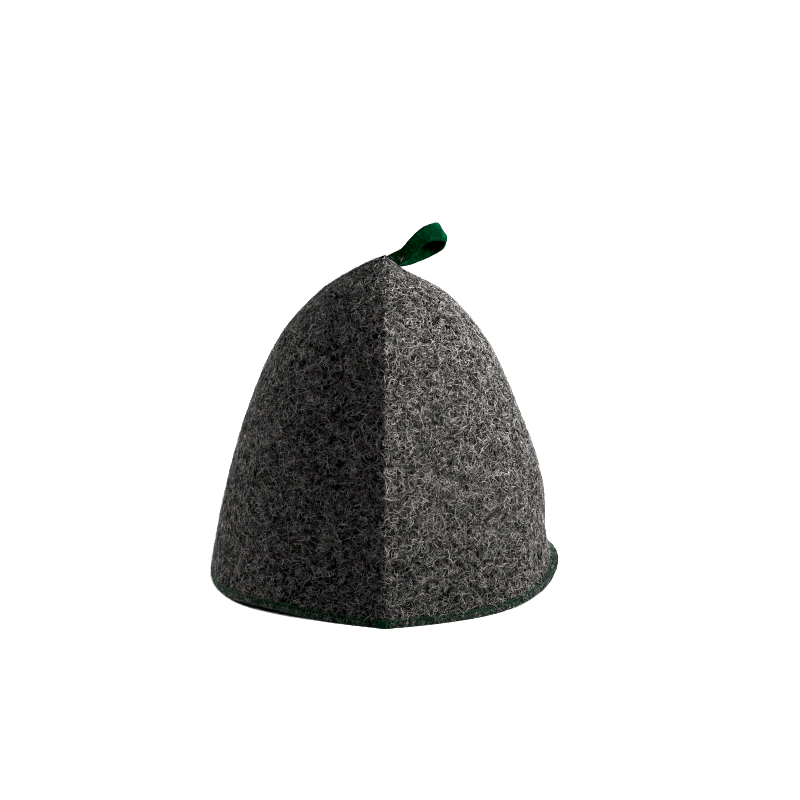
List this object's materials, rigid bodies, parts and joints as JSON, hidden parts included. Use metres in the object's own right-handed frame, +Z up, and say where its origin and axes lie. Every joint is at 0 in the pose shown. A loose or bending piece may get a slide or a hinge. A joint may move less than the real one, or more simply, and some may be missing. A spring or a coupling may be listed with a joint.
{
  "type": "sauna hat",
  "caption": "Felt sauna hat: a tall pointed dome of sewn gores with a creased front, hollow and open below for the head, and a small folded hanging loop at the tip.",
  "frame": {"origin": "Bottom centre of the hat: the floor under the middle of the rim.", "axes": "+Z is up, from the rim to the tip; the front seam faces -Y; the right side seam, with the hanging loop, is towards +X."},
  "size_m": [0.2138, 0.2094, 0.2206],
  "materials": {
    "felt": "coarse pressed wool felt, charcoal with pale hairs",
    "loop_cloth": "soft matt green felt strip"
  },
  "bodies": {
    "root": {"gore_front_right": "felt", "gore_front_left": "felt", "gore_back_left": "felt", "gore_back_right": "felt", "hanging_loop": "loop_cloth"}
  },
  "joints": []
}
